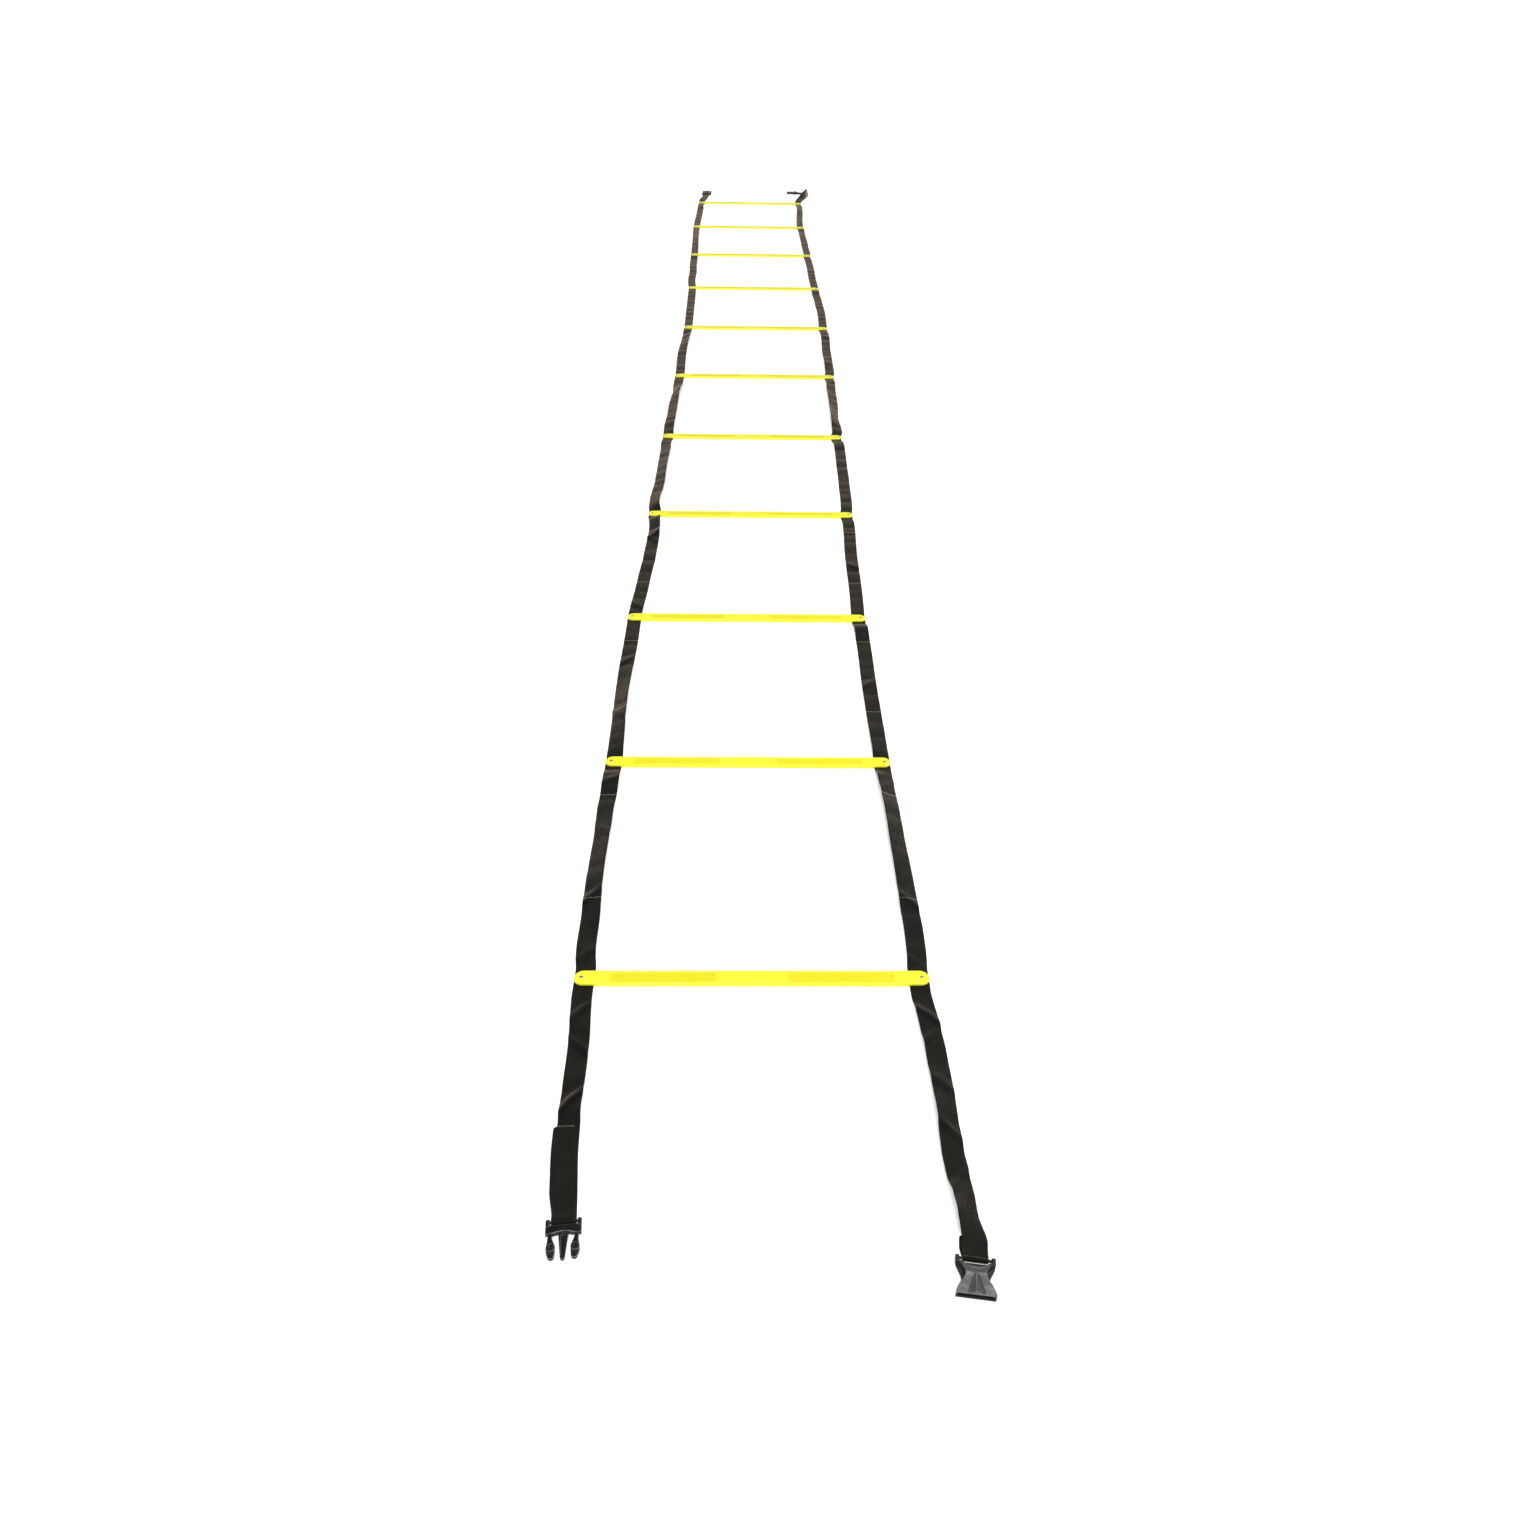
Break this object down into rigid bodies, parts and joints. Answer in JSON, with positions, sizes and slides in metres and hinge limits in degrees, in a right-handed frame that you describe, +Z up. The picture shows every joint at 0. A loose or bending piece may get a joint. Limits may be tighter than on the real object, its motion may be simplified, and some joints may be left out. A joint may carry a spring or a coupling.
{
  "type": "agility ladder",
  "caption": "Flat agility ladder: plastic slat rungs riveted across webbing side straps that fold up like a concertina, with side-release buckle halves on the loose strap ends.",
  "frame": {"origin": "on the floor under the middle of the ladder, at the centre of the rungs' box without the loose strap ends", "axes": "+Y along the ladder from the end with the male half on the left, +X across it to the right, +Z up"},
  "size_m": [0.4781, 4.9927, 0.0246],
  "materials": {
    "rung": "moulded, slightly glossy lemon yellow",
    "rivet": "satin",
    "webbing": "woven polypropylene, slight sheen",
    "buckle": "moulded acetal, satin"
  },
  "bodies": {
    "root": {"rung_06": "rung", "rivets_06": "rivet", "centre_straps": "webbing"},
    "bay_06_near": {"bay_06_straps_near": "webbing"},
    "bay_06_far": {"bay_06_straps_far": "webbing"},
    "bay_07_near": {"bay_07_straps_near": "webbing", "rung_07": "rung", "rivets_07": "rivet"},
    "bay_07_far": {"bay_07_straps_far": "webbing"},
    "bay_08_near": {"bay_08_straps_near": "webbing", "rung_08": "rung", "rivets_08": "rivet"},
    "bay_08_far": {"bay_08_straps_far": "webbing"},
    "bay_09_near": {"bay_09_straps_near": "webbing", "rung_09": "rung", "rivets_09": "rivet"},
    "bay_09_far": {"bay_09_straps_far": "webbing"},
    "bay_10_near": {"bay_10_straps_near": "webbing", "rung_10": "rung", "rivets_10": "rivet"},
    "bay_10_far": {"bay_10_straps_far": "webbing"},
    "end_far": {"rung_11": "rung", "rivets_11": "rivet", "end_straps_far": "webbing"},
    "bay_05_far": {"bay_05_straps_far": "webbing"},
    "bay_05_near": {"bay_05_straps_near": "webbing"},
    "bay_04_far": {"bay_04_straps_far": "webbing", "rung_05": "rung", "rivets_05": "rivet"},
    "bay_04_near": {"bay_04_straps_near": "webbing"},
    "bay_03_far": {"bay_03_straps_far": "webbing", "rung_04": "rung", "rivets_04": "rivet"},
    "bay_03_near": {"bay_03_straps_near": "webbing"},
    "bay_02_far": {"bay_02_straps_far": "webbing", "rung_03": "rung", "rivets_03": "rivet"},
    "bay_02_near": {"bay_02_straps_near": "webbing"},
    "bay_01_far": {"bay_01_straps_far": "webbing", "rung_02": "rung", "rivets_02": "rivet"},
    "bay_01_near": {"bay_01_straps_near": "webbing"},
    "end_near": {"rung_01": "rung", "rivets_01": "rivet", "end_straps_near": "webbing"},
    "near_left_tail": {"near_left_tail": "webbing"},
    "near_male": {"near_male_body": "buckle"},
    "near_male_arm_left": {"near_male_arm_left": "buckle"},
    "near_male_arm_right": {"near_male_arm_right": "buckle"},
    "near_right_tail": {"near_right_tail": "webbing"},
    "near_female": {"near_female_body": "buckle"},
    "far_left_tail": {"far_left_tail": "webbing"},
    "far_female": {"far_female_body": "buckle"},
    "far_right_tail": {"far_right_tail": "webbing"},
    "far_male": {"far_male_body": "buckle"},
    "far_male_arm_right": {"far_male_arm_right": "buckle"},
    "far_male_arm_left": {"far_male_arm_left": "buckle"}
  },
  "joints": [
    {"name": "gather", "type": "hinge", "parent": "root", "child": "bay_06_near", "pos_m": [0, 0.029, 0.0015], "axis": [1, 0, 0], "range_deg": [0, 80]},
    {"name": "fold_in_bay_06", "type": "hinge", "parent": "bay_06_near", "child": "bay_06_far", "pos_m": [0, 0.2175, 0], "axis": [1, 0, 0], "range_deg": [-160, 0]},
    {"name": "fold_at_rung_07", "type": "hinge", "parent": "bay_06_far", "child": "bay_07_near", "pos_m": [0, 0.406, 0.0015], "axis": [1, 0, 0], "range_deg": [0, 160]},
    {"name": "fold_in_bay_07", "type": "hinge", "parent": "bay_07_near", "child": "bay_07_far", "pos_m": [0, 0.6235, 0], "axis": [1, 0, 0], "range_deg": [-160, 0]},
    {"name": "fold_at_rung_08", "type": "hinge", "parent": "bay_07_far", "child": "bay_08_near", "pos_m": [0, 0.841, 0.0015], "axis": [1, 0, 0], "range_deg": [0, 160]},
    {"name": "fold_in_bay_08", "type": "hinge", "parent": "bay_08_near", "child": "bay_08_far", "pos_m": [0, 1.0585, 0], "axis": [1, 0, 0], "range_deg": [-160, 0]},
    {"name": "fold_at_rung_09", "type": "hinge", "parent": "bay_08_far", "child": "bay_09_near", "pos_m": [0, 1.276, 0.0015], "axis": [1, 0, 0], "range_deg": [0, 160]},
    {"name": "fold_in_bay_09", "type": "hinge", "parent": "bay_09_near", "child": "bay_09_far", "pos_m": [0, 1.4935, 0], "axis": [1, 0, 0], "range_deg": [-160, 0]},
    {"name": "fold_at_rung_10", "type": "hinge", "parent": "bay_09_far", "child": "bay_10_near", "pos_m": [0, 1.711, 0.0015], "axis": [1, 0, 0], "range_deg": [0, 160]},
    {"name": "fold_in_bay_10", "type": "hinge", "parent": "bay_10_near", "child": "bay_10_far", "pos_m": [0, 1.9285, 0], "axis": [1, 0, 0], "range_deg": [-160, 0]},
    {"name": "fold_at_rung_11", "type": "hinge", "parent": "bay_10_far", "child": "end_far", "pos_m": [0, 2.146, 0.0015], "axis": [1, 0, 0], "range_deg": [0, 80]},
    {"name": "fold_at_rung_06_near_side", "type": "hinge", "parent": "root", "child": "bay_05_far", "pos_m": [0, -0.029, 0.0015], "axis": [-1, 0, 0], "range_deg": [0, 80]},
    {"name": "fold_in_bay_05", "type": "hinge", "parent": "bay_05_far", "child": "bay_05_near", "pos_m": [0, -0.2175, 0], "axis": [-1, 0, 0], "range_deg": [-160, 0]},
    {"name": "fold_at_rung_05", "type": "hinge", "parent": "bay_05_near", "child": "bay_04_far", "pos_m": [0, -0.406, 0.0015], "axis": [-1, 0, 0], "range_deg": [0, 160]},
    {"name": "fold_in_bay_04", "type": "hinge", "parent": "bay_04_far", "child": "bay_04_near", "pos_m": [0, -0.6235, 0], "axis": [-1, 0, 0], "range_deg": [-160, 0]},
    {"name": "fold_at_rung_04", "type": "hinge", "parent": "bay_04_near", "child": "bay_03_far", "pos_m": [0, -0.841, 0.0015], "axis": [-1, 0, 0], "range_deg": [0, 160]},
    {"name": "fold_in_bay_03", "type": "hinge", "parent": "bay_03_far", "child": "bay_03_near", "pos_m": [0, -1.0585, 0], "axis": [-1, 0, 0], "range_deg": [-160, 0]},
    {"name": "fold_at_rung_03", "type": "hinge", "parent": "bay_03_near", "child": "bay_02_far", "pos_m": [0, -1.276, 0.0015], "axis": [-1, 0, 0], "range_deg": [0, 160]},
    {"name": "fold_in_bay_02", "type": "hinge", "parent": "bay_02_far", "child": "bay_02_near", "pos_m": [0, -1.4935, 0], "axis": [-1, 0, 0], "range_deg": [-160, 0]},
    {"name": "fold_at_rung_02", "type": "hinge", "parent": "bay_02_near", "child": "bay_01_far", "pos_m": [0, -1.711, 0.0015], "axis": [-1, 0, 0], "range_deg": [0, 160]},
    {"name": "fold_in_bay_01", "type": "hinge", "parent": "bay_01_far", "child": "bay_01_near", "pos_m": [0, -1.9285, 0], "axis": [-1, 0, 0], "range_deg": [-160, 0]},
    {"name": "fold_at_rung_01", "type": "hinge", "parent": "bay_01_near", "child": "end_near", "pos_m": [0, -2.146, 0.0015], "axis": [-1, 0, 0], "range_deg": [0, 80]},
    {"name": "lift_near_left_tail", "type": "hinge", "parent": "end_near", "child": "near_left_tail", "pos_m": [0, -2.195, 0.0015], "axis": [-1, 0, 0], "range_deg": [0, 90]},
    {"name": "turn_near_male", "type": "hinge", "parent": "near_left_tail", "child": "near_male", "pos_m": [-0.1903, -2.4955, 0.0032], "axis": [-0.9962, -0.0872, 0], "range_deg": [0, 60]},
    {"name": "squeeze_near_male_arm_left", "type": "hinge", "parent": "near_male", "child": "near_male_arm_left", "pos_m": [-0.20185, -2.51036, 0.0032], "axis": [0, 0, 1], "range_deg": [0, 8], "stiffness_Nm_per_rad": 0.5},
    {"name": "squeeze_near_male_arm_right", "type": "hinge", "parent": "near_male", "child": "near_male_arm_right", "pos_m": [-0.17635, -2.50813, 0.0032], "axis": [0, 0, -1], "range_deg": [0, 8], "stiffness_Nm_per_rad": 0.5},
    {"name": "lift_near_right_tail", "type": "hinge", "parent": "end_near", "child": "near_right_tail", "pos_m": [0, -2.195, 0.0015], "axis": [-1, 0, 0], "range_deg": [0, 90]},
    {"name": "turn_near_female", "type": "hinge", "parent": "near_right_tail", "child": "near_female", "pos_m": [0.2103, -2.5368, 0.0032], "axis": [-0.9903, 0.1392, 0], "range_deg": [0, 60]},
    {"name": "lift_far_left_tail", "type": "hinge", "parent": "end_far", "child": "far_left_tail", "pos_m": [0, 2.195, 0.0015], "axis": [1, 0, 0], "range_deg": [0, 90]},
    {"name": "turn_far_female", "type": "hinge", "parent": "far_left_tail", "child": "far_female", "pos_m": [-0.192, 2.342, 0.0032], "axis": [0.9986, -0.0523, 0], "range_deg": [0, 60]},
    {"name": "lift_far_right_tail", "type": "hinge", "parent": "end_far", "child": "far_right_tail", "pos_m": [0, 2.195, 0.0015], "axis": [1, 0, 0], "range_deg": [0, 90]},
    {"name": "turn_far_male", "type": "hinge", "parent": "far_right_tail", "child": "far_male", "pos_m": [0.196, 2.397, 0.0032], "axis": [0.0698, 0.9976, 0], "range_deg": [0, 60]},
    {"name": "squeeze_far_male_arm_right", "type": "hinge", "parent": "far_male", "child": "far_male_arm_right", "pos_m": [0.18313, 2.41073, 0.0032], "axis": [0, 0, 1], "range_deg": [0, 8], "stiffness_Nm_per_rad": 0.5},
    {"name": "squeeze_far_male_arm_left", "type": "hinge", "parent": "far_male", "child": "far_male_arm_left", "pos_m": [0.18134, 2.38519, 0.0032], "axis": [0, 0, -1], "range_deg": [0, 8], "stiffness_Nm_per_rad": 0.5}
  ],
  "couplings": [
    {"joint": "fold_in_bay_06", "follows": "gather", "ratio": -2},
    {"joint": "fold_at_rung_07", "follows": "gather", "ratio": 2},
    {"joint": "fold_in_bay_07", "follows": "gather", "ratio": -2},
    {"joint": "fold_at_rung_08", "follows": "gather", "ratio": 2},
    {"joint": "fold_in_bay_08", "follows": "gather", "ratio": -2},
    {"joint": "fold_at_rung_09", "follows": "gather", "ratio": 2},
    {"joint": "fold_in_bay_09", "follows": "gather", "ratio": -2},
    {"joint": "fold_at_rung_10", "follows": "gather", "ratio": 2},
    {"joint": "fold_in_bay_10", "follows": "gather", "ratio": -2},
    {"joint": "fold_at_rung_11", "follows": "gather", "ratio": 1},
    {"joint": "fold_at_rung_06_near_side", "follows": "gather", "ratio": 1},
    {"joint": "fold_in_bay_05", "follows": "gather", "ratio": -2},
    {"joint": "fold_at_rung_05", "follows": "gather", "ratio": 2},
    {"joint": "fold_in_bay_04", "follows": "gather", "ratio": -2},
    {"joint": "fold_at_rung_04", "follows": "gather", "ratio": 2},
    {"joint": "fold_in_bay_03", "follows": "gather", "ratio": -2},
    {"joint": "fold_at_rung_03", "follows": "gather", "ratio": 2},
    {"joint": "fold_in_bay_02", "follows": "gather", "ratio": -2},
    {"joint": "fold_at_rung_02", "follows": "gather", "ratio": 2},
    {"joint": "fold_in_bay_01", "follows": "gather", "ratio": -2},
    {"joint": "fold_at_rung_01", "follows": "gather", "ratio": 1},
    {"joint": "squeeze_near_male_arm_right", "follows": "squeeze_near_male_arm_left", "ratio": 1},
    {"joint": "squeeze_far_male_arm_left", "follows": "squeeze_far_male_arm_right", "ratio": 1}
  ]
}
